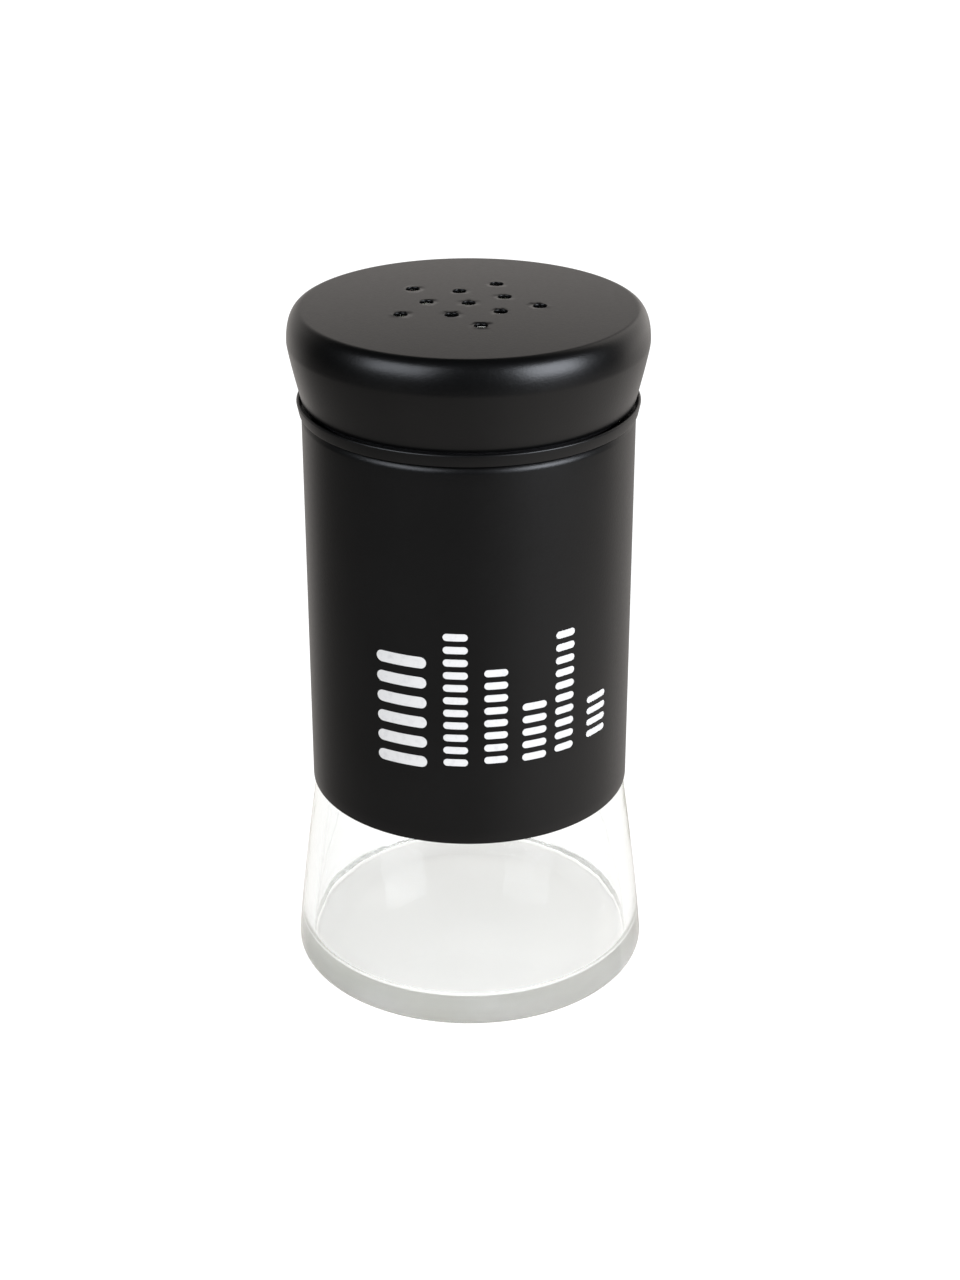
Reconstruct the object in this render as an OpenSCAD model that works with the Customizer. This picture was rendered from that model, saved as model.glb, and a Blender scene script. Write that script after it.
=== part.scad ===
// Table shaker: a thick-based glass jar in a black coated steel sleeve, with a
// perforated screw lid. Millimetres, +Z up, origin at the centre of the base.

/* [Glass jar] */
// Widest radius of the glass, just above the base
base_r = 31.3; // [30.5:0.1:32]
// Rounding of the base's outer edge
base_corner_r = 1.3; // [0.8:0.1:2]
// Outer radius of the straight glass body inside the sleeve
body_r = 27; // [26.6:0.1:27.1]
// Height at which the flared foot has narrowed to the straight body
flare_top_z = 36; // [35:0.5:45]
// How far the flare bows outwards (1 is a straight cone)
flare_bow = 1.15; // [1:0.05:1.3]
// Thickness of the glass wall
wall_t = 2.6; // [2:0.1:3]
// Thickness of the glass floor at its edge
floor_t = 4.2; // [3:0.1:6]
// Height of the hollow under the base
punt_h = 1.2; // [0.6:0.1:1.6]
// Height of the jar's mouth
mouth_z = 116.2; // [115.8:0.1:116.2]
// Outer radius of the neck between the threads
neck_r = 23.6; // [23.4:0.1:23.7]
// Radius of the mouth
mouth_r = 20.8; // [19.8:0.1:21.2]

/* [Screw thread] */
// Rise of the lid in one full turn
thread_pitch = 4.2; // [4:0.1:4.4]
// Depth of the thread
thread_depth = 1.1; // [0.9:0.1:1.2]
// Turns of thread round the neck
neck_turns = 1.5; // [1.25:0.25:1.5]
// Turns of thread inside the lid
lid_turns = 1.25; // [1:0.25:1.25]
// Gap between the two threads' working flanks
flank_gap = 0.25; // [0.15:0.05:0.5]

/* [Sleeve] */
// Outer radius of the sleeve
sleeve_r = 27.8; // [27.8:0.05:27.95]
// Thickness of the steel sheet
sleeve_t = 0.4; // [0.3:0.05:0.4]
// Height of the sleeve's lower edge
sleeve_bottom_z = 34.4; // [34.4:0.2:42]
// Rounding of the sleeve's shoulder, under the groove
shoulder_round = 1.5; // [1.3:0.1:1.6]
// Radius of the folded collar at its top
collar_r = 28.55; // [28.4:0.05:29]
// Radius of the collar at its lower edge
collar_foot_r = 28.2; // [28.1:0.05:28.4]
// Height of the collar's top
collar_top_z = 104.3; // [104.2:0.1:104.3]

/* [Lid] */
// Height of the lid's top, which is the shaker's height
lid_top_z = 120; // [119.9:0.1:121]
// Widest radius of the lid
lid_r = 29.85; // [29.5:0.05:31]
// Height of the lid's widest part
lid_widest_z = 114.2; // [113.5:0.1:115]
// Radius at which the flat top starts to round over
lid_flat_r = 27.3; // [27:0.1:27.6]
// How far the flat top is crowned
lid_crown = 0.4; // [0.2:0.1:0.4]
// Radius of the lid's lower edge
lid_edge_r = 27.7; // [27.6:0.05:27.8]
// Height of the lid's lower edge
lid_edge_z = 104.4; // [104.35:0.05:104.8]
// Thickness of the lid's steel sheet
lid_t = 0.5; // [0.4:0.05:0.5]

/* [Pouring holes] */
// Diameter of each pouring hole
hole_d = 2.3; // [1.5:0.1:3]
// Holes in each of the two rings, round one at the centre
ring_holes = 5; // [4:1:6]
// Radius of the inner ring of holes
inner_ring_r = 6.9; // [5:0.1:8]
// Radius of the outer ring of holes
outer_ring_r = 12.1; // [11:0.1:15]
// Direction of the inner ring's first hole, in degrees
inner_ring_turn = 103; // [0:1:120]
// Direction of the outer ring's first hole, in degrees
outer_ring_turn = 137.5; // [0:0.5:180]
// How far the outer ring is off centre
outer_ring_shift = 0.4; // [0:0.1:1]

/* [Hidden] */
$fn = 96;

// Glass jar: the body's cavity, the shoulder and the neck
cavity_corner_r = 1.6;
punt_r = 24;
shoulder_r = 3;
shoulder_z = 100.8;
cavity_roof_z = shoulder_z - wall_t;
neck_fillet_r = 0.5;
mouth_lip_r = 0.6;
curve_steps = 10;

// Thread: trapezoid ridges whose flanks lean at the same slope on both parts
flank_slope = 0.5;
thread_root_sink = 0.35;
neck_ridge_root = 1.1;
lid_ridge_root = 1.05;
neck_thread_z = 106.8;
lid_thread_start = 0.35;
runout_turns = 0.07;
runout_start = 0.05;
steps_per_turn = 40;

// Sleeve's top: shoulder, groove, folded collar and in-turned flange
shoulder_top_angle = 52;
groove_fillet_r = 0.15;
collar_foot_round = 0.2;
collar_lip_r = 0.3;
collar_recess_taper = 0.15;
flange_step = 1;
sleeve_shoulder_z = 100.7;
flange_z = sleeve_shoulder_z + shoulder_round - sleeve_t;
flange_r = 24.6;

// Glue between the flange and the glass shoulder
adhesive_gap = 0.03;
adhesive_r = 26.1;
adhesive_inset = 0.2;

// Lid insert and seal, which stack up from the jar's mouth
thread_clearance = 0.3;
insert_bore_r = neck_r + thread_depth + thread_clearance;
insert_r = 26.7;
rim_inner_r = 26.1;
insert_skirt_r = rim_inner_r - 0.1;
insert_foot_z = 102.9;
insert_ledge_z = lid_edge_z + lid_t + 0.05;
insert_opening_r = 19.5;
seal_z = mouth_z + 0.1;
seal_t = 1.3;
seal_inner_r = 20.4;
seal_outer_r = 24.7;
insert_roof_z = seal_z + seal_t + 0.1;
insert_top_z = 119;
insert_chamfer = 0.6;

// Lid shell: shape of the rounding and of the tapered side, and how much less
// the inside steps in at the rounding
round_power = 2.28;
taper_power = 1.15;
lid_edge_round = 0.12;
inset_at_flat = 0.2;
crown_steps = 5;
hole_depth = 5;
hole_below_crown = 3;

steel_black = [0.09, 0.09, 0.09];
plastic_black = [0.13, 0.13, 0.13];
seal_grey = [0.75, 0.75, 0.72];
glue_clear = [0.85, 0.82, 0.7, 0.8];
glass_clear = [0.8, 0.88, 0.84, 0.45];

// Points along an arc round (cx, cy) from angle a0 to a1
function arc(cx, cy, r, a0, a1) = [
    for (i = [0:curve_steps])
        let (a = a0 + (a1 - a0) * i / curve_steps)
        [cx + r * cos(a), cy + r * sin(a)]
];

// Radius of the glass foot's outside at height z
function foot_r(z) =
    base_r - (base_r - body_r) * pow((z - base_corner_r) / (flare_top_z - base_corner_r), flare_bow);

// Outside of the glass from the middle of the base up to the mouth
function jar_outline() = concat(
    [for (i = [0:curve_steps]) let (r = punt_r * i / curve_steps) [r, punt_h * (1 - pow(r / punt_r, 2))]],
    arc(base_r - base_corner_r, base_corner_r, base_corner_r, -90, 0),
    [
        for (i = [1:curve_steps])
            let (z = base_corner_r + (flare_top_z - base_corner_r) * i / curve_steps)
            [foot_r(z), z]
    ],
    arc(body_r - shoulder_r, shoulder_z - shoulder_r, shoulder_r, 0, 90),
    arc(neck_r + neck_fillet_r, shoulder_z + neck_fillet_r, neck_fillet_r, 270, 180),
    arc(neck_r - mouth_lip_r, mouth_z - mouth_lip_r, mouth_lip_r, 0, 90)
);

// Inside of the glass from the mouth down to the middle of the floor
function jar_cavity() = concat(
    arc(mouth_r + mouth_lip_r, mouth_z - mouth_lip_r, mouth_lip_r, 90, 180),
    [[mouth_r, cavity_roof_z + wall_t]],
    arc(body_r - wall_t - shoulder_r, cavity_roof_z - shoulder_r, shoulder_r, 90, 0),
    [
        for (i = [curve_steps:-1:3])
            let (z = flare_top_z * i / curve_steps)
            [foot_r(z) - wall_t, z]
    ],
    arc(foot_r(floor_t) - wall_t - cavity_corner_r, floor_t + cavity_corner_r, cavity_corner_r, 0, -90),
    [[0, floor_t + punt_h / 2]]
);

// Ridge of a screw thread: root radius, crest radius and half-widths, growing
// from nothing over the run-out at each end
module thread_ridge(start_z, from_turn, turns, root_r, crest_r, root_half, crest_half) {
    steps = ceil(turns * steps_per_turn);
    function grown(t) = min(1, t / runout_turns, (turns - t) / runout_turns);
    function ring(i) =
        let (
            t = turns * i / steps,
            a = 360 * (from_turn + t),
            z = start_z + thread_pitch * (from_turn + t),
            k = runout_start + (1 - runout_start) * max(0, grown(t)),
            c = root_r + (crest_r - root_r) * k,
            low = [[root_r, -root_half * k], [c, -crest_half * k]],
            high = [[c, crest_half * k], [root_r, root_half * k]]
        )
        [for (p = concat(low, high)) [p[0] * cos(a), p[0] * sin(a), z + p[1]]];
    points = [for (i = [0:steps]) each ring(i)];
    outward = crest_r > root_r;
    sides = [
        for (i = [0:steps - 1])
            for (j = [0:3])
                let (a = 4 * i + j, b = 4 * i + (j + 1) % 4)
                for (tri = [[a, b, a + 4], [b, b + 4, a + 4]])
                    outward ? tri : [tri[0], tri[2], tri[1]]
    ];
    first = [[0, 3, 2], [0, 2, 1]];
    last = [for (tri = first) [for (k = [2:-1:0]) tri[k] + 4 * steps]];
    caps = concat(first, last);
    polyhedron(points, concat(sides, [for (tri = caps) outward ? tri : [tri[0], tri[2], tri[1]]]));
}

module glass_jar() {
    color(glass_clear) {
        rotate_extrude() polygon(concat(jar_outline(), jar_cavity()));
        thread_ridge(
            neck_thread_z, 0, neck_turns,
            neck_r - thread_root_sink, neck_r + thread_depth,
            neck_ridge_root + thread_root_sink * flank_slope,
            neck_ridge_root - thread_depth * flank_slope
        );
    }
}

module sleeve() {
    wall_in = sleeve_r - sleeve_t;
    round_x = sleeve_r - shoulder_round;
    groove_x = round_x + (shoulder_round + groove_fillet_r) * cos(shoulder_top_angle);
    groove_z = sleeve_shoulder_z + (shoulder_round + groove_fillet_r) * sin(shoulder_top_angle);
    collar_foot_z = groove_z + groove_fillet_r;
    recess_z = collar_foot_z + sleeve_t;
    recess_r = collar_r - 2 * collar_lip_r;
    color(steel_black) rotate_extrude() polygon(concat(
        [[wall_in, sleeve_bottom_z], [sleeve_r, sleeve_bottom_z]],
        arc(round_x, sleeve_shoulder_z, shoulder_round, 0, shoulder_top_angle),
        arc(groove_x, groove_z, groove_fillet_r, 180 + shoulder_top_angle, 90),
        arc(collar_foot_r - collar_foot_round, collar_foot_z + collar_foot_round, collar_foot_round, -90, 0),
        arc(collar_r - collar_lip_r, collar_top_z - collar_lip_r, collar_lip_r, 0, 180),
        [
            [recess_r - collar_recess_taper, recess_z],
            [groove_x, recess_z],
            [groove_x - flange_step, flange_z + sleeve_t],
            [flange_r, flange_z + sleeve_t],
            [flange_r, flange_z]
        ],
        arc(round_x, sleeve_shoulder_z, shoulder_round - sleeve_t, 90, 0)
    ));
}

// Ring of glue between the glass shoulder and the sleeve's flange
module sleeve_adhesive() {
    inner_r = flange_r + adhesive_inset;
    top_z = flange_z - adhesive_gap;
    reach = shoulder_r + adhesive_gap;
    start_angle = acos((adhesive_r - body_r + shoulder_r) / reach);
    end_angle = acos((inner_r - body_r + shoulder_r) / reach);
    color(glue_clear) rotate_extrude() polygon(concat(
        arc(body_r - shoulder_r, shoulder_z - shoulder_r, reach, start_angle, end_angle),
        [[inner_r, top_z], [adhesive_r, top_z]]
    ));
}

// Lid's section from the crown's edge to the rim, inset by t from the outside
function lid_side(t) = concat(
    [
        for (i = [0:curve_steps])
            let (
                a = 90 * (1 - i / curve_steps),
                rise = lid_top_z - lid_crown - lid_widest_z - t,
                run = lid_r - lid_flat_r - t * (1 - inset_at_flat)
            )
            [
                lid_flat_r - t * inset_at_flat + run * pow(cos(a), 2 / round_power),
                lid_widest_z + rise * pow(sin(a), 2 / round_power)
            ]
    ],
    [
        for (i = [1:curve_steps - 1])
            let (u = i / curve_steps)
            [
                lid_r - t - (lid_r - lid_edge_r) * pow(u, taper_power),
                lid_widest_z - (lid_widest_z - lid_edge_z) * u
            ]
    ]
);

// Crown of the lid from the axis outwards, inset by t
function lid_crown_points(t) = [
    for (i = [0:crown_steps - 1])
        let (r = lid_flat_r * i / crown_steps)
        [r, lid_top_z - t - lid_crown * pow(r / lid_flat_r, 2)]
];

function reversed(list) = [for (i = [len(list) - 1:-1:0]) list[i]];

module pouring_holes() {
    hole_z = lid_top_z - lid_crown - hole_below_crown;
    module hole(r, a) {
        rotate(a) translate([r, 0, hole_z]) cylinder(d = hole_d, h = hole_depth);
    }
    hole(0, 0);
    for (i = [0:ring_holes - 1]) {
        hole(inner_ring_r, inner_ring_turn - i * 360 / ring_holes);
        translate([-outer_ring_shift, 0, 0])
            hole(outer_ring_r, outer_ring_turn - i * 360 / ring_holes);
    }
}

module lid_shell() {
    color(steel_black) difference() {
        rotate_extrude() polygon(concat(
            lid_crown_points(0),
            lid_side(0),
            arc(lid_edge_r - lid_edge_round, lid_edge_z + lid_edge_round, lid_edge_round, 0, -90),
            [
                [rim_inner_r, lid_edge_z],
                [rim_inner_r, lid_edge_z + lid_t],
                [lid_edge_r - lid_t, lid_edge_z + lid_t]
            ],
            reversed(concat(lid_crown_points(lid_t), lid_side(lid_t)))
        ));
        pouring_holes();
    }
}

// Threaded plastic liner fixed inside the lid, open in the middle for the holes
module lid_insert() {
    color(plastic_black) {
        rotate_extrude() polygon([
            [insert_bore_r, insert_foot_z],
            [insert_skirt_r, insert_foot_z],
            [insert_skirt_r, insert_ledge_z],
            [insert_r, insert_ledge_z],
            [insert_r, insert_top_z - insert_chamfer],
            [insert_r - insert_chamfer, insert_top_z],
            [insert_opening_r, insert_top_z],
            [insert_opening_r, insert_roof_z],
            [insert_bore_r, insert_roof_z]
        ]);
        thread_ridge(
            neck_thread_z - lid_thread_drop(), lid_thread_start, lid_turns,
            insert_bore_r + thread_root_sink, insert_bore_r - thread_depth,
            lid_ridge_root + thread_root_sink * flank_slope,
            lid_ridge_root - thread_depth * flank_slope
        );
    }
}

// How far the lid's ridge lies below the neck's, for the flanks to be flank_gap apart
function lid_thread_drop() =
    neck_ridge_root + lid_ridge_root - (insert_bore_r - neck_r) * flank_slope + flank_gap;

module lid_seal() {
    color(seal_grey) translate([0, 0, seal_z]) difference() {
        cylinder(r = seal_outer_r, h = seal_t);
        translate([0, 0, -1]) cylinder(r = seal_inner_r, h = seal_t + 2);
    }
}

glass_jar();
sleeve();
sleeve_adhesive();
lid_shell();
lid_insert();
lid_seal();
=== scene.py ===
import math

import bmesh
import bpy
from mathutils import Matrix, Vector, geometry


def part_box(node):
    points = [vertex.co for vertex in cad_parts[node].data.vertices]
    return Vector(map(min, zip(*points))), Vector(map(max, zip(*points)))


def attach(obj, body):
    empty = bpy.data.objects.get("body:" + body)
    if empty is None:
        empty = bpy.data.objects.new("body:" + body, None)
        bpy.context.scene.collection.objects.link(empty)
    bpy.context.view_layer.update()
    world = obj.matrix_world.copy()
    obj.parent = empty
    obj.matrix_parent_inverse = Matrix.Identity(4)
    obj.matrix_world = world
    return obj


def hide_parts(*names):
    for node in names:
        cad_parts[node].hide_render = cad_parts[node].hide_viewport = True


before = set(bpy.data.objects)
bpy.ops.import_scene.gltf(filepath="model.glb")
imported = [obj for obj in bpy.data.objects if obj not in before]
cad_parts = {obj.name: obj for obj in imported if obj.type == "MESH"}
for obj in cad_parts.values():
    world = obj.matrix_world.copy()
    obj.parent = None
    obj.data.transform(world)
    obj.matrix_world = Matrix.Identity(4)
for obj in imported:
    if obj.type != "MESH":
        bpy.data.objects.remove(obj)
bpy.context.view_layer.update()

# Looks for the table shaker: a clear glass jar in a black coated steel sleeve, under a
# perforated screw lid. Every piece is a surface of revolution built here at a finer pitch
# than the CAD solids, in the CAD's own frame. Lengths are in metres.

MM = 0.001
SEGMENTS = 192


# ---------------------------------------------------------------- mesh helpers


def arc(cx, cz, radius, start, end, steps):
    """Points of an arc in the section plane, angles in degrees from the radial axis."""
    points = []
    for i in range(steps + 1):
        a = math.radians(start + (end - start) * i / steps)
        points.append((cx + radius * math.cos(a), cz + radius * math.sin(a)))
    return points


def line(start, end, steps):
    """Points of a straight stretch, without its first point."""
    return [
        (
            start[0] + (end[0] - start[0]) * i / steps,
            start[1] + (end[1] - start[1]) * i / steps,
        )
        for i in range(1, steps + 1)
    ]


def make_object(name, vertices, faces, material, sharp=35):
    """A mesh object with outward normals, smooth but for edges sharper than that angle."""
    mesh = bpy.data.meshes.new(name)
    mesh.from_pydata(vertices, [], faces)
    bm = bmesh.new()
    bm.from_mesh(mesh)
    bmesh.ops.recalc_face_normals(bm, faces=bm.faces)
    bm.to_mesh(mesh)
    bm.free()
    mesh.shade_smooth()
    mesh.set_sharp_from_angle(angle=math.radians(sharp))
    mesh.materials.append(material)
    obj = bpy.data.objects.new(name, mesh)
    bpy.context.scene.collection.objects.link(obj)
    return obj


def revolve(section, swell=None):
    """Vertices, faces and ring indices of a section turned round the Z axis. A point on the
    axis becomes one pole. swell(z, turn) adds to the radius of the section's marked points."""
    vertices, rings = [], []
    for point in section:
        r, z = point[0], point[1]
        marked = len(point) > 2
        if r < 1e-7:
            rings.append([len(vertices)])
            vertices.append((0.0, 0.0, z))
            continue
        first = len(vertices)
        rings.append(list(range(first, first + SEGMENTS)))
        for k in range(SEGMENTS):
            turn = k / SEGMENTS
            a = 2 * math.pi * turn
            radius = r + (swell(z, turn) if marked and swell else 0.0)
            vertices.append((radius * math.cos(a), radius * math.sin(a), z))
    return vertices, rings


def bridge(ring_a, ring_b):
    """Faces between two rings, or between a ring and a pole."""
    if len(ring_a) == 1:
        n = len(ring_b)
        return [(ring_a[0], ring_b[k], ring_b[(k + 1) % n]) for k in range(n)]
    if len(ring_b) == 1:
        n = len(ring_a)
        return [(ring_a[k], ring_b[0], ring_a[(k + 1) % n]) for k in range(n)]
    n = len(ring_a)
    return [
        (ring_a[k], ring_a[(k + 1) % n], ring_b[(k + 1) % n], ring_b[k])
        for k in range(n)
    ]


def turned_piece(name, section, material, closed=True, swell=None, sharp=35):
    """A solid of revolution. closed joins the section's last point to its first."""
    vertices, rings = revolve(section, swell)
    faces = []
    for a, b in zip(rings, rings[1:]):
        faces += bridge(a, b)
    if closed:
        faces += bridge(rings[-1], rings[0])
    return make_object(name, vertices, faces, material, sharp)


def smooth(x):
    """Eases from 0 to 1 as x does."""
    x = min(1.0, max(0.0, x))
    return x * x * (3 - 2 * x)


def thread(start_z, from_turn, turns, pitch, depth, root_half, crest_half, runout=0.07):
    """Height of a helical ridge at height z and part-turn: a rounded trapezoid that
    fades in and out at its ends."""

    def height(z, turn):
        best = 0.0
        for whole in range(-1, int(turns + from_turn) + 2):
            t = turn + whole
            ends = min(t - from_turn, from_turn + turns - t)
            if ends <= 0:
                continue
            grown = smooth(ends / runout)
            off = abs(z - start_z - pitch * t)
            slope = max(root_half - crest_half, 1e-6)
            best = max(best, grown * smooth((root_half - off) / slope))
        return depth * best

    return height


# ---------------------------------------------------------------- materials


def new_material(name):
    """A node material, its nodes and links, and its Principled shader."""
    material = bpy.data.materials.new(name)
    material.use_nodes = True
    nodes = material.node_tree.nodes
    shader = next(n for n in nodes if n.type == "BSDF_PRINCIPLED")
    return material, nodes, material.node_tree.links, shader


def noise(nodes, links, scale, detail=4.0, roughness=0.5, distortion=0.0):
    """Noise in the object's own space, as a 0..1 value."""
    coordinates = nodes.new("ShaderNodeTexCoord")
    texture = nodes.new("ShaderNodeTexNoise")
    texture.inputs["Scale"].default_value = scale
    texture.inputs["Detail"].default_value = detail
    texture.inputs["Roughness"].default_value = roughness
    texture.inputs["Distortion"].default_value = distortion
    links.new(coordinates.outputs["Object"], texture.inputs["Vector"])
    return texture.outputs["Fac"]


def ramp(nodes, links, fac, stops):
    """A colour ramp with (place, colour) stops."""
    node = nodes.new("ShaderNodeValToRGB")
    elements = node.color_ramp.elements
    while len(elements) < len(stops):
        elements.new(0.5)
    for element, (place, colour) in zip(elements, stops):
        element.position = place
        element.color = (*colour, 1.0)
    links.new(fac, node.inputs["Fac"])
    return node.outputs["Color"]


def spread(nodes, links, fac, low, high):
    """Maps a 0..1 value to low..high."""
    node = nodes.new("ShaderNodeMapRange")
    node.inputs["To Min"].default_value = low
    node.inputs["To Max"].default_value = high
    links.new(fac, node.inputs["Value"])
    return node.outputs["Result"]


def bump(nodes, links, shader, height, distance):
    """Raises the surface by up to that distance where height is 1."""
    node = nodes.new("ShaderNodeBump")
    node.inputs["Strength"].default_value = 1.0
    node.inputs["Distance"].default_value = distance
    links.new(height, node.inputs["Height"])
    links.new(node.outputs["Normal"], shader.inputs["Normal"])


def powder_coat(name, dark, light, rough_low, rough_high, specular):
    """Satin black coating: fine orange peel, slightly uneven gloss and colour."""
    material, nodes, links, shader = new_material(name)
    shader.inputs["IOR"].default_value = 1.5
    shader.inputs["Specular IOR Level"].default_value = specular
    patches = noise(nodes, links, 90, 5, 0.6)
    colour = ramp(nodes, links, patches, [(0.3, dark), (0.72, light)])
    links.new(colour, shader.inputs["Base Color"])
    grain = noise(nodes, links, 1400, 3, 0.6)
    roughness = spread(nodes, links, grain, rough_low, rough_high)
    links.new(roughness, shader.inputs["Roughness"])
    peel = noise(nodes, links, 2600, 2, 0.5)
    bump(nodes, links, shader, peel, 0.012 * MM)
    return material


# The jar's underside is finely stippled up to this height and out to this radius
STIPPLE_TOP = 1.2 * MM
STIPPLE_R = 29.6 * MM
STIPPLE_FADE = 0.3 * MM


def make_glass():
    """Clear soda-lime glass, slightly green in its thick base, with the faint waviness of
    a pressed jar and a stippled underside."""
    material, nodes, links, shader = new_material("clear_glass")
    shader.inputs["Base Color"].default_value = (1, 1, 1, 1)
    shader.inputs["Transmission Weight"].default_value = 1.0
    shader.inputs["IOR"].default_value = 1.52
    haze = noise(nodes, links, 160, 4, 0.6)
    clear = spread(nodes, links, haze, 0.0, 0.035)
    coordinates = nodes.new("ShaderNodeTexCoord")
    split = nodes.new("ShaderNodeSeparateXYZ")
    links.new(coordinates.outputs["Object"], split.inputs["Vector"])
    flat = nodes.new("ShaderNodeCombineXYZ")
    links.new(split.outputs["X"], flat.inputs["X"])
    links.new(split.outputs["Y"], flat.inputs["Y"])
    radius = nodes.new("ShaderNodeVectorMath")
    radius.operation = "LENGTH"
    links.new(flat.outputs["Vector"], radius.inputs[0])
    under = nodes.new("ShaderNodeMath")
    under.operation = "MULTIPLY"
    for side, (value, edge) in enumerate(
        ((split.outputs["Z"], STIPPLE_TOP), (radius.outputs["Value"], STIPPLE_R))
    ):
        fade = nodes.new("ShaderNodeMapRange")
        fade.inputs["From Min"].default_value = edge
        fade.inputs["From Max"].default_value = edge + STIPPLE_FADE
        fade.inputs["To Min"].default_value = 1.0
        fade.inputs["To Max"].default_value = 0.0
        links.new(value, fade.inputs["Value"])
        links.new(fade.outputs["Result"], under.inputs[side])
    stipple = spread(nodes, links, noise(nodes, links, 45, 2, 0.5), 0.2, 1.0)
    mix = nodes.new("ShaderNodeMix")
    links.new(under.outputs["Value"], mix.inputs["Factor"])
    links.new(clear, mix.inputs["A"])
    links.new(stipple, mix.inputs["B"])
    links.new(mix.outputs["Result"], shader.inputs["Roughness"])
    waves = noise(nodes, links, 85, 2, 0.5)
    bump(nodes, links, shader, waves, 0.05 * MM)
    absorb = nodes.new("ShaderNodeVolumeAbsorption")
    absorb.inputs["Color"].default_value = (0.56, 0.62, 0.42, 1)
    absorb.inputs["Density"].default_value = 12.0
    out = next(n for n in nodes if n.type == "OUTPUT_MATERIAL")
    links.new(absorb.outputs["Volume"], out.inputs["Volume"])
    return material


def make_ink():
    """White screen-printed ink, a little thin and speckled."""
    material, nodes, links, shader = new_material("print_ink")
    cover = noise(nodes, links, 900, 5, 0.7)
    colour = ramp(
        nodes, links, cover, [(0.25, (0.47, 0.46, 0.45)), (0.5, (0.56, 0.55, 0.53))]
    )
    links.new(colour, shader.inputs["Base Color"])
    links.new(spread(nodes, links, cover, 0.6, 0.4), shader.inputs["Roughness"])
    bump(nodes, links, shader, noise(nodes, links, 2400, 2), 0.008 * MM)
    return material


def make_liner():
    """Black moulded polypropylene: faint flow marks and a fine matt texture."""
    material, nodes, links, shader = new_material("liner_plastic")
    flow = noise(nodes, links, 130, 4, 0.6, 0.4)
    colour = ramp(
        nodes, links, flow, [(0.3, (0.010, 0.010, 0.011)), (0.7, (0.018, 0.018, 0.019))]
    )
    links.new(colour, shader.inputs["Base Color"])
    links.new(spread(nodes, links, flow, 0.42, 0.56), shader.inputs["Roughness"])
    bump(nodes, links, shader, noise(nodes, links, 3200, 2), 0.01 * MM)
    return material


def make_seal():
    """Pale silicone-like sealing ring."""
    material, nodes, links, shader = new_material("seal_rubber")
    dust = noise(nodes, links, 300, 5, 0.65)
    colour = ramp(
        nodes, links, dust, [(0.3, (0.52, 0.51, 0.48)), (0.7, (0.62, 0.61, 0.58))]
    )
    links.new(colour, shader.inputs["Base Color"])
    links.new(spread(nodes, links, dust, 0.5, 0.68), shader.inputs["Roughness"])
    shader.inputs["Subsurface Weight"].default_value = 0.08
    shader.inputs["Subsurface Scale"].default_value = 0.001
    bump(nodes, links, shader, noise(nodes, links, 1800, 3), 0.01 * MM)
    return material


def make_glue():
    """Clear, slightly yellow glue with small voids."""
    material, nodes, links, shader = new_material("glue")
    blobs = noise(nodes, links, 500, 3, 0.5)
    colour = ramp(
        nodes, links, blobs, [(0.3, (0.55, 0.49, 0.34)), (0.7, (0.72, 0.66, 0.5))]
    )
    links.new(colour, shader.inputs["Base Color"])
    links.new(spread(nodes, links, blobs, 0.2, 0.45), shader.inputs["Roughness"])
    bump(nodes, links, shader, blobs, 0.05 * MM)
    return material


COAT_DARK, COAT_LIGHT = (0.0012, 0.0012, 0.0012), (0.0020, 0.0020, 0.0020)
coat_sleeve = powder_coat("coat_sleeve", COAT_DARK, COAT_LIGHT, 0.32, 0.40, 0.3)
coat_lid = powder_coat("coat_lid", COAT_DARK, COAT_LIGHT, 0.28, 0.35, 0.3)
glass = make_glass()
ink = make_ink()
liner = make_liner()
seal_rubber = make_seal()
glue = make_glue()


# ---------------------------------------------------------------- glass jar

_, jar_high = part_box("glass_jar")
BASE_R = jar_high.x
MOUTH_Z = jar_high.z
BODY_R = 27.0 * MM
WALL = 2.6 * MM
FLOOR_Z = 4.2 * MM
CORNER_R = 1.3 * MM
PUNT_R = 24.0 * MM
PUNT_H = 1.2 * MM
FLARE_TOP = 36.0 * MM
FLARE_BOW = 1.15
SHOULDER_R = 3.0 * MM
SHOULDER_Z = 100.8 * MM
ROOF_Z = SHOULDER_Z - WALL
NECK_R = 23.6 * MM
NECK_FILLET = 0.5 * MM
MOUTH_R = 20.8 * MM
LIP = 0.6 * MM
CAVITY_CORNER = 1.6 * MM

PITCH = 4.2 * MM
THREAD_DEPTH = 1.1 * MM
NECK_THREAD_Z = 106.8 * MM
NECK_ROOT_HALF = 1.1 * MM
NECK_CREST_HALF = 0.55 * MM


def foot_r(z):
    """Outside radius of the flared foot at height z."""
    u = (z - CORNER_R) / (FLARE_TOP - CORNER_R)
    return BASE_R - (BASE_R - BODY_R) * u**FLARE_BOW


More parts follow.
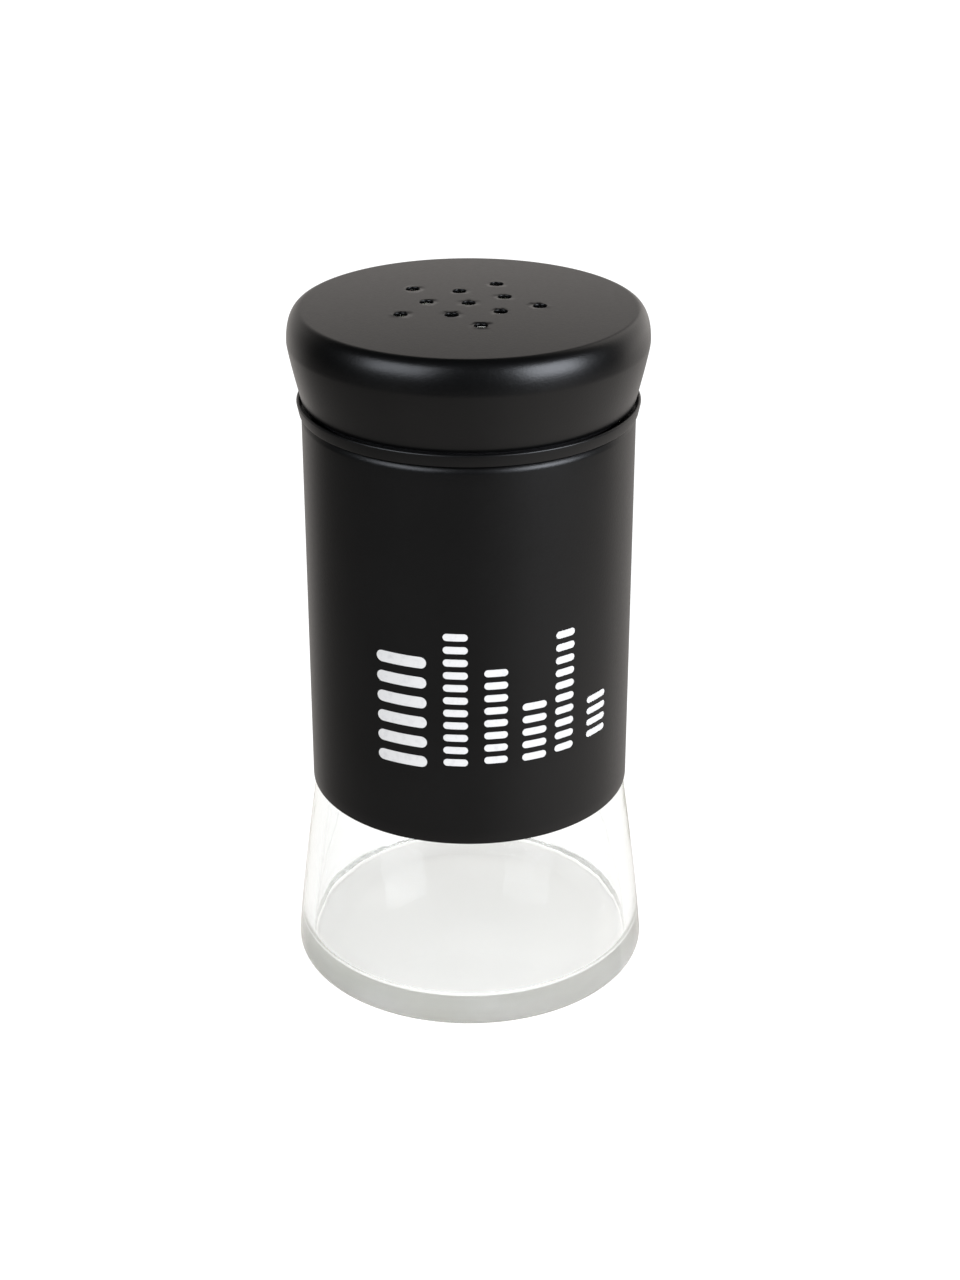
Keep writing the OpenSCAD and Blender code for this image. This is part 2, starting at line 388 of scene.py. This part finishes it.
def jar_section():
    """The jar's section: under the base, up the outside, over the mouth and down inside."""
    steps = 24
    foot_steps = 40
    points = []
    for i in range(steps + 1):
        r = PUNT_R * i / steps
        points.append((r, PUNT_H * (1 - (r / PUNT_R) ** 2)))
    points += arc(BASE_R - CORNER_R, CORNER_R, CORNER_R, -90, 0, 12)
    for i in range(1, foot_steps + 1):
        z = CORNER_R + (FLARE_TOP - CORNER_R) * i / foot_steps
        points.append((foot_r(z), z))
    points += line((BODY_R, FLARE_TOP), (BODY_R, SHOULDER_Z - SHOULDER_R), 12)
    shoulder = arc(BODY_R - SHOULDER_R, SHOULDER_Z - SHOULDER_R, SHOULDER_R, 0, 90, 12)
    points += shoulder[1:]
    low, high = SHOULDER_Z + NECK_FILLET, MOUTH_Z - LIP
    fillet = arc(NECK_R + NECK_FILLET, low, NECK_FILLET, 270, 180, 6)
    points += fillet[:-1]
    rings = 96
    for i in range(rings + 1):
        points.append((NECK_R, low + (high - low) * i / rings, "thread"))
    points += arc(NECK_R - LIP, MOUTH_Z - LIP, LIP, 0, 90, 8)[1:]
    points += arc(MOUTH_R + LIP, MOUTH_Z - LIP, LIP, 90, 180, 8)
    points += line((MOUTH_R, MOUTH_Z - LIP), (MOUTH_R, ROOF_Z + WALL), 6)
    inner_r = BODY_R - WALL
    points += arc(inner_r - SHOULDER_R, ROOF_Z - SHOULDER_R, SHOULDER_R, 90, 0, 12)
    points += line((inner_r, ROOF_Z - SHOULDER_R), (inner_r, FLARE_TOP), 12)
    low = FLOOR_Z + CAVITY_CORNER
    for i in range(1, foot_steps):
        z = FLARE_TOP - (FLARE_TOP - low) * i / foot_steps
        points.append((foot_r(z) - WALL, z))
    corner_r = foot_r(low) - WALL
    points += arc(corner_r - CAVITY_CORNER, low, CAVITY_CORNER, 0, -90, 12)
    floor_r = corner_r - CAVITY_CORNER
    for i in range(1, steps + 1):
        r = floor_r * (1 - i / steps)
        points.append((r, FLOOR_Z + PUNT_H / 2 * (1 - (r / floor_r) ** 2)))
    return points


jar = turned_piece(
    "jar_glass",
    jar_section(),
    glass,
    closed=False,
    swell=thread(
        NECK_THREAD_Z, 0, 1.5, PITCH, THREAD_DEPTH, NECK_ROOT_HALF, NECK_CREST_HALF
    ),
    sharp=60,
)
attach(jar, "jar")
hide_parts("glass_jar")


# ---------------------------------------------------------------- steel sleeve

sleeve_low, sleeve_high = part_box("sleeve")
SLEEVE_R = 27.8 * MM
SLEEVE_T = 0.4 * MM
SLEEVE_Z = sleeve_low.z
COLLAR_TOP = sleeve_high.z
COLLAR_R = sleeve_high.x
COLLAR_FOOT_R = 28.2 * MM
SHOULDER_ROUND = 1.5 * MM
SHOULDER_TOP_ANGLE = 52
GROOVE_FILLET = 0.15 * MM
COLLAR_FOOT_ROUND = 0.2 * MM
COLLAR_LIP = 0.3 * MM
COLLAR_TAPER = 0.15 * MM
FLANGE_STEP = 1 * MM
SHEET_ROUND = 0.12 * MM
SLEEVE_SHOULDER_Z = 100.7 * MM
FLANGE_R = 24.6 * MM
FLANGE_Z = SLEEVE_SHOULDER_Z + SHOULDER_ROUND - SLEEVE_T


def sleeve_section():
    """The sleeve's section: up the outside to the collar, then down the inside."""
    wall_in = SLEEVE_R - SLEEVE_T
    round_x = SLEEVE_R - SHOULDER_ROUND
    reach = SHOULDER_ROUND + GROOVE_FILLET
    angle = math.radians(SHOULDER_TOP_ANGLE)
    groove_x = round_x + reach * math.cos(angle)
    groove_z = SLEEVE_SHOULDER_Z + reach * math.sin(angle)
    foot_z = groove_z + GROOVE_FILLET
    recess_z = foot_z + SLEEVE_T
    recess_r = COLLAR_R - 2 * COLLAR_LIP
    rim = SHEET_ROUND
    rim_z = SLEEVE_Z + rim
    points = arc(wall_in + rim, rim_z, rim, 180, 270, 4)
    points += arc(SLEEVE_R - rim, rim_z, rim, -90, 0, 4)
    points += line((SLEEVE_R, rim_z), (SLEEVE_R, SLEEVE_SHOULDER_Z), 30)
    shoulder = arc(round_x, SLEEVE_SHOULDER_Z, SHOULDER_ROUND, 0, SHOULDER_TOP_ANGLE, 10)
    points += shoulder[1:]
    groove = arc(groove_x, groove_z, GROOVE_FILLET, 180 + SHOULDER_TOP_ANGLE, 90, 8)
    points += groove[1:]
    foot = COLLAR_FOOT_ROUND
    points += arc(COLLAR_FOOT_R - foot, foot_z + foot, foot, -90, 0, 6)
    points += arc(COLLAR_R - COLLAR_LIP, COLLAR_TOP - COLLAR_LIP, COLLAR_LIP, 0, 180, 12)
    points += [
        (recess_r - COLLAR_TAPER, recess_z),
        (groove_x, recess_z),
        (groove_x - FLANGE_STEP, FLANGE_Z + SLEEVE_T),
        (FLANGE_R, FLANGE_Z + SLEEVE_T),
        (FLANGE_R, FLANGE_Z),
    ]
    points += arc(round_x, SLEEVE_SHOULDER_Z, SHOULDER_ROUND - SLEEVE_T, 90, 0, 8)
    points += line((wall_in, SLEEVE_SHOULDER_Z), (wall_in, rim_z), 30)[:-1]
    return points


sleeve = turned_piece("sleeve_coated", sleeve_section(), coat_sleeve, sharp=50)
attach(sleeve, "jar")
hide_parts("sleeve")


# ---------------------------------------------------------------- printed marks

# A plain stand-in for the printing on the sleeve's front: six columns of rounded
# dashes. Each column is its first and last direction in degrees from the front, its
# lowest and highest point in mm, and how many dashes it has.
COLUMNS = [
    (-32.6, -14.3, 48.6, 68.8, 6),
    (-8.6, -0.2, 49.3, 73.4, 11),
    (5.3, 13.4, 49.7, 66.9, 8),
    (18.6, 27.5, 49.5, 60.1, 5),
    (30.9, 38.6, 49.8, 71.9, 10),
    (45.1, 55.0, 50.3, 57.9, 4),
]
# Share of a column's pitch that a dash fills, and how far the ink stands out and sinks in
DASH_FILL = 0.56
INK_OUT = 0.035 * MM
INK_IN = 0.05 * MM


def dash(vertices, faces, start, end, low, high):
    """One rounded dash lying on the sleeve, from direction start to end (radians)."""
    half = (high - low) / 2
    middle = (high + low) / 2
    width = (end - start) * SLEEVE_R
    cap_steps, straight = 8, 10
    quarter = math.pi / 2
    cap = [half * (1 - math.cos(quarter * i / cap_steps)) for i in range(cap_steps + 1)]
    reach = width - 2 * half
    places = cap + [half + reach * i / straight for i in range(1, straight)]
    places += [width - c for c in reversed(cap)]
    columns = []
    for place in places:
        inset = half - min(place, width - place)
        h = math.sqrt(max(0.0, half**2 - inset**2)) if inset > 0 else half
        a = start + place / SLEEVE_R - math.pi / 2
        column = []
        for radius in (SLEEVE_R + INK_OUT, SLEEVE_R - INK_IN):
            for side in (-1, 1) if h > 1e-8 else (0,):
                column.append(len(vertices))
                vertices.append(
                    (radius * math.cos(a), radius * math.sin(a), middle + side * h)
                )
        columns.append(column)
    for a, b in zip(columns, columns[1:]):
        if len(a) == 2:
            faces += [(a[0], b[0], b[1]), (a[1], b[3], b[2])]
            faces += [(a[0], a[1], b[2], b[0]), (a[0], b[1], b[3], a[1])]
        elif len(b) == 2:
            faces += [(a[0], b[0], a[1]), (a[2], a[3], b[1])]
            faces += [(a[0], a[2], b[1], b[0]), (a[1], b[0], b[1], a[3])]
        else:
            faces += [(a[0], b[0], b[1], a[1]), (a[2], a[3], b[3], b[2])]
            faces += [(a[0], a[2], b[2], b[0]), (a[1], b[1], b[3], a[3])]


def make_marks():
    vertices, faces = [], []
    for first, last, low, high, count in COLUMNS:
        start, end = math.radians(first), math.radians(last)
        pitch = (high - low) * MM / (count - 1 + DASH_FILL)
        for i in range(count):
            z = low * MM + pitch * i
            dash(vertices, faces, start, end, z, z + pitch * DASH_FILL)
    return make_object("print_marks", vertices, faces, ink, 60)


marks = make_marks()
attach(marks, "jar")


# ---------------------------------------------------------------- lid shell

shell_low, shell_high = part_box("lid_shell")
LID_TOP = shell_high.z
LID_R = shell_high.x
LID_EDGE_Z = shell_low.z
LID_EDGE_R = 27.7 * MM
LID_FLAT_R = 27.3 * MM
LID_CROWN = 0.4 * MM
LID_WIDEST = 114.2 * MM
LID_T = 0.5 * MM
RIM_INNER_R = 26.1 * MM
EDGE_ROUND = 0.12 * MM
INSET_AT_FLAT = 0.2
ROUND_POWER = 2.28
TAPER_POWER = 1.15
SIDE_STEPS = 32
HOLE_R = 1.15 * MM
HOLE_EDGE = 0.18 * MM
PLATE_R = 15.6 * MM
GRID = 0.95 * MM
HOLE_SEGMENTS = 32
RING_HOLES = 5
# Each ring's radius, the direction of its first hole, and how far it is off centre
RINGS = [(6.9 * MM, 103, 0.0), (12.1 * MM, 137.5, 0.4 * MM)]
HOLES = [(0.0, 0.0)]
for ring_r, ring_turn, shift in RINGS:
    for i in range(RING_HOLES):
        a = math.radians(ring_turn - 360 / RING_HOLES * i)
        HOLES.append((ring_r * math.cos(a) - shift, ring_r * math.sin(a)))


def crown_z(r):
    """Height of the lid's outside at radius r."""
    return LID_TOP - LID_CROWN * (r / LID_FLAT_R) ** 2


def lid_side(t):
    """The rounding and the tapered side of the shell, inset by t."""
    points = []
    rise = LID_TOP - LID_CROWN - LID_WIDEST - t
    run = LID_R - LID_FLAT_R - t * (1 - INSET_AT_FLAT)
    for i in range(SIDE_STEPS + 1):
        a = math.pi / 2 * (1 - i / SIDE_STEPS)
        r = LID_FLAT_R - t * INSET_AT_FLAT + run * abs(math.cos(a)) ** (2 / ROUND_POWER)
        points.append((r, LID_WIDEST + rise * abs(math.sin(a)) ** (2 / ROUND_POWER)))
    for i in range(1, SIDE_STEPS):
        u = i / SIDE_STEPS
        r = LID_R - t - (LID_R - LID_EDGE_R) * u**TAPER_POWER
        points.append((r, LID_WIDEST - (LID_WIDEST - LID_EDGE_Z) * u))
    return points


def perforated_plate():
    """Flat points and triangles of the lid's middle with its holes left open."""
    points = []
    for k in range(SEGMENTS):
        a = 2 * math.pi * k / SEGMENTS
        points.append(Vector((PLATE_R * math.cos(a), PLATE_R * math.sin(a))))
    loops = [list(range(SEGMENTS))]
    ring_r = HOLE_R + HOLE_EDGE
    for x, y in HOLES:
        first = len(points)
        loops.append(list(range(first, first + HOLE_SEGMENTS)))
        for k in range(HOLE_SEGMENTS):
            a = 2 * math.pi * k / HOLE_SEGMENTS
            points.append(Vector((x + ring_r * math.cos(a), y + ring_r * math.sin(a))))
    rows = int(PLATE_R / GRID) + 2
    for row in range(-rows, rows + 1):
        for column in range(-rows, rows + 1):
            x = GRID * (column + 0.5 * (row % 2))
            y = GRID * row * math.sqrt(3) / 2
            if math.hypot(x, y) > PLATE_R - 0.6 * GRID:
                continue
            if min(math.hypot(x - hx, y - hy) for hx, hy in HOLES) < ring_r + 0.5 * GRID:
                continue
            points.append(Vector((x, y)))
    _, _, faces, origin, _, _ = geometry.delaunay_2d_cdt(points, [], loops, 0, 1e-9)
    back = [sources[0] for sources in origin]
    kept = []
    for face in faces:
        corners = [back[v] for v in face]
        centre = sum((points[c] for c in corners), Vector((0, 0))) / len(corners)
        if all((centre - Vector(h)).length > ring_r * 0.98 for h in HOLES):
            kept.append(corners)
    return points, kept, loops


def make_lid_shell():
    """The shell turned from its plate's edge outwards, its perforated plate, and the
    rolled edges of its holes."""
    crown_steps = 12
    span = LID_FLAT_R - PLATE_R
    outer = [PLATE_R + span * i / crown_steps for i in range(crown_steps)]
    section = [(r, crown_z(r)) for r in outer]
    section += lid_side(0)
    edge_z = LID_EDGE_Z + EDGE_ROUND
    section += arc(LID_EDGE_R - EDGE_ROUND, edge_z, EDGE_ROUND, 0, -90, 6)
    section += [
        (RIM_INNER_R, LID_EDGE_Z),
        (RIM_INNER_R, LID_EDGE_Z + LID_T),
        (LID_EDGE_R - LID_T, LID_EDGE_Z + LID_T),
    ]
    section += reversed(lid_side(LID_T))
    section += [(r, crown_z(r) - LID_T) for r in reversed(outer)]
    vertices, rings = revolve(section)
    faces = []
    for a, b in zip(rings, rings[1:]):
        faces += bridge(a, b)
    points, triangles, loops = perforated_plate()
    top = {i: rings[0][i] for i in range(SEGMENTS)}
    under = {i: rings[-1][i] for i in range(SEGMENTS)}
    for i in range(SEGMENTS, len(points)):
        x, y = points[i]
        z = crown_z(math.hypot(x, y))
        top[i] = len(vertices)
        vertices.append((x, y, z))
        under[i] = len(vertices)
        vertices.append((x, y, z - LID_T))
    for corners in triangles:
        faces.append(tuple(top[c] for c in corners))
        faces.append(tuple(under[c] for c in reversed(corners)))
    for (x, y), loop in zip(HOLES, loops[1:]):
        z = crown_z(math.hypot(x, y))
        walls = arc(HOLE_R + HOLE_EDGE, z - HOLE_EDGE, HOLE_EDGE, 90, 180, 5)[1:]
        low_z = z - LID_T + HOLE_EDGE / 2
        walls += arc(HOLE_R + HOLE_EDGE, low_z, HOLE_EDGE, 180, 240, 3)[:-1]
        previous = [top[i] for i in loop]
        for r, wall_z in walls:
            ring = []
            for k in range(HOLE_SEGMENTS):
                a = 2 * math.pi * k / HOLE_SEGMENTS
                ring.append(len(vertices))
                vertices.append((x + r * math.cos(a), y + r * math.sin(a), wall_z))
            faces += bridge(previous, ring)
            previous = ring
        faces += bridge(previous, [under[i] for i in loop])
    return make_object("lid_shell_coated", vertices, faces, coat_lid, 40)


lid = make_lid_shell()
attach(lid, "lid")
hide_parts("lid_shell")


# ---------------------------------------------------------------- lid liner

insert_low, insert_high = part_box("lid_insert")
THREAD_CLEARANCE = 0.3 * MM
BORE_R = NECK_R + THREAD_DEPTH + THREAD_CLEARANCE
INSERT_R = insert_high.x
INSERT_FOOT = insert_low.z
INSERT_TOP = insert_high.z
SKIRT_R = RIM_INNER_R - 0.1 * MM
LEDGE_Z = LID_EDGE_Z + LID_T + 0.05 * MM
OPENING_R = 19.5 * MM
INSERT_ROOF = 117.7 * MM
FLANK_SLOPE = 0.5
FLANK_GAP = 0.25 * MM
LID_ROOT_HALF = 1.05 * MM
LID_CREST_HALF = LID_ROOT_HALF - THREAD_DEPTH * FLANK_SLOPE
THREAD_DROP = NECK_ROOT_HALF + LID_ROOT_HALF - (BORE_R - NECK_R) * FLANK_SLOPE + FLANK_GAP
INSERT_CHAMFER = 0.6 * MM


def insert_section():
    """The liner's section: up the outside, over the top and down the threaded bore."""
    soft = 0.2 * MM
    chamfer = INSERT_CHAMFER
    points = arc(SKIRT_R - soft, INSERT_FOOT + soft, soft, -90, 0, 4)
    points += [(SKIRT_R, LEDGE_Z), (INSERT_R, LEDGE_Z)]
    points += [(INSERT_R, INSERT_TOP - chamfer)]
    points += arc(INSERT_R - chamfer, INSERT_TOP - chamfer, chamfer, 0, 90, 6)
    points += arc(OPENING_R + soft, INSERT_TOP - soft, soft, 90, 180, 4)
    points += [(OPENING_R, INSERT_ROOF), (BORE_R, INSERT_ROOF)]
    low, high = INSERT_FOOT + soft, INSERT_ROOF
    rings = 90
    for i in range(1, rings + 1):
        points.append((BORE_R, high - (high - low) * i / rings, "thread"))
    points += arc(BORE_R + soft, INSERT_FOOT + soft, soft, 180, 270, 4)[1:]
    return points


LID_THREAD_Z = NECK_THREAD_Z - THREAD_DROP
lid_ridge = thread(
    LID_THREAD_Z, 0.35, 1.25, PITCH, THREAD_DEPTH, LID_ROOT_HALF, LID_CREST_HALF
)
insert = turned_piece(
    "lid_liner", insert_section(), liner, swell=lambda z, t: -lid_ridge(z, t), sharp=50
)
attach(insert, "lid")
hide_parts("lid_insert")


# ---------------------------------------------------------------- carried-over solids

for node, material in (("lid_seal", seal_rubber), ("sleeve_adhesive", glue)):
    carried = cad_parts[node]
    carried.data.materials.clear()
    carried.data.materials.append(material)


# ---------------------------------------------------------------- floor, light, camera


def make_floor():
    """A pale light table: it glows evenly, so the clear glass reads clean and white. The
    black gloss sees the studio in its place."""
    size, z, glow = 3.0, -0.05 * MM, 1.1
    material, nodes, links, shader = new_material("pale_floor")
    tone = noise(nodes, links, 3, 3)
    colour = ramp(
        nodes, links, tone, [(0.3, (0.08, 0.08, 0.08)), (0.7, (0.09, 0.09, 0.09))]
    )
    links.new(colour, shader.inputs["Base Color"])
    shader.inputs["Emission Color"].default_value = (1, 1, 1, 1)
    shader.inputs["Emission Strength"].default_value = glow
    shader.inputs["Roughness"].default_value = 0.8
    shader.inputs["Specular IOR Level"].default_value = 0.1
    vertices = [(-size, -size, z), (size, -size, z), (size, size, z), (-size, size, z)]
    obj = make_object("floor", vertices, [(0, 1, 2, 3)], material)
    obj.visible_glossy = False
    return obj


floor = make_floor()


def soft_box(name, azimuth, elevation, distance, width, height, radiance, glossy=True):
    """A rectangular light that faces the shaker. Azimuth is from the front, in degrees."""
    a, e = math.radians(azimuth), math.radians(elevation)
    target = Vector((0, 0, 60 * MM))
    flat = math.cos(e)
    away = Vector((math.sin(a) * flat, -math.cos(a) * flat, math.sin(e)))
    data = bpy.data.lights.new(name, "AREA")
    data.shape = "RECTANGLE"
    data.size, data.size_y = width, height
    data.energy = radiance * math.pi * width * height
    data.color = (0.88, 0.92, 1.0)
    obj = bpy.data.objects.new(name, data)
    obj.location = target + away * distance
    obj.rotation_euler = away.to_track_quat("Z", "Y").to_euler()
    obj.visible_glossy = glossy
    bpy.context.scene.collection.objects.link(obj)


soft_box("soft_box_left", -46, 28, 0.9, 0.6, 0.5, 7.0)
soft_box("soft_box_right", 53, 20, 0.9, 0.55, 0.5, 14.5)
soft_box("top_fill", 0, 89, 1.3, 1.6, 1.6, 0.6, glossy=False)


def make_world():
    """The studio as the shaker's gloss sees it: white behind, up to a low height, and dim
    in front and overhead."""
    world = bpy.data.worlds.new("studio")
    world.use_nodes = True
    nodes, links = world.node_tree.nodes, world.node_tree.links
    background = nodes["Background"]
    coordinates = nodes.new("ShaderNodeTexCoord")
    split = nodes.new("ShaderNodeSeparateXYZ")
    links.new(coordinates.outputs["Generated"], split.inputs["Vector"])

    def fade(axis, start, end, low, high):
        """Eases from low to high as the direction's axis goes from start to end."""
        node = nodes.new("ShaderNodeMapRange")
        node.interpolation_type = "SMOOTHSTEP"
        node.inputs["From Min"].default_value = start
        node.inputs["From Max"].default_value = end
        node.inputs["To Min"].default_value = low
        node.inputs["To Max"].default_value = high
        links.new(split.outputs[axis], node.inputs["Value"])
        return node.outputs["Result"]

    def combine(operation, a, b):
        node = nodes.new("ShaderNodeMath")
        node.operation = operation
        links.new(a, node.inputs[0])
        links.new(b, node.inputs[1])
        return node.outputs["Value"]

    def times(a, b):
        return combine("MULTIPLY", a, b)

    def larger(a, b):
        return combine("MAXIMUM", a, b)

    def remainder(a):
        """One less that value."""
        node = nodes.new("ShaderNodeMath")
        node.operation = "SUBTRACT"
        node.inputs[0].default_value = 1.0
        links.new(a, node.inputs[1])
        return node.outputs["Value"]

    # The pale table below: brighter at the right, dim at the far left and towards the front
    table = times(fade("X", 0.0, 0.7, 0.5, 0.92), fade("Z", -0.52, -0.1, 1.0, 0.0))
    table = times(table, fade("X", -0.95, -0.4, 0.55, 1.0))
    shade = times(fade("Y", -0.9, -0.6, 0.65, 0.0), fade("Z", -0.48, -0.3, 0.0, 1.0))
    table = times(table, remainder(shade))

    # The white behind, which ends a little above the shaker, and its higher right corner
    back = times(fade("Y", 0.3, 0.9, 0.0, 0.86), fade("Z", 0.22, 0.65, 1.0, 0.03))
    corner = times(fade("X", 0.15, 0.34, 0.0, 1.3), fade("Y", 0.25, 0.5, 0.0, 1.0))
    corner = times(corner, fade("Z", 0.65, 0.82, 1.0, 0.0))
    back = larger(back, corner)

    # Low at the back right it is less bright
    dim = times(fade("Y", 0.1, 0.7, 0.0, 0.42), fade("X", 0.0, 0.4, 0.0, 1.0))
    dim = remainder(times(dim, fade("Z", -0.3, -0.1, 1.0, 0.0)))
    strength = times(larger(table, back), dim)
    links.new(strength, background.inputs["Strength"])
    background.inputs["Color"].default_value = (1.0, 0.95, 0.91, 1)
    bpy.context.scene.world = world


make_world()

camera_data = bpy.data.cameras.new("camera")
camera_data.lens = 63.95
camera_data.sensor_width = 36
camera_data.clip_start = 0.01
camera = bpy.data.objects.new("camera", camera_data)
camera.location = (1.87 * MM, -358.0 * MM, 229.5 * MM)
camera.rotation_euler = (math.radians(90 - 25.443), 0, 0)
bpy.context.scene.collection.objects.link(camera)
bpy.context.scene.camera = camera
bpy.context.scene.view_settings.view_transform = "Standard"

# Light is piped through the thick glass base, bouncing many times inside it
cycles = bpy.context.scene.cycles
cycles.max_bounces = 32
cycles.glossy_bounces = 24
cycles.transmission_bounces = 32
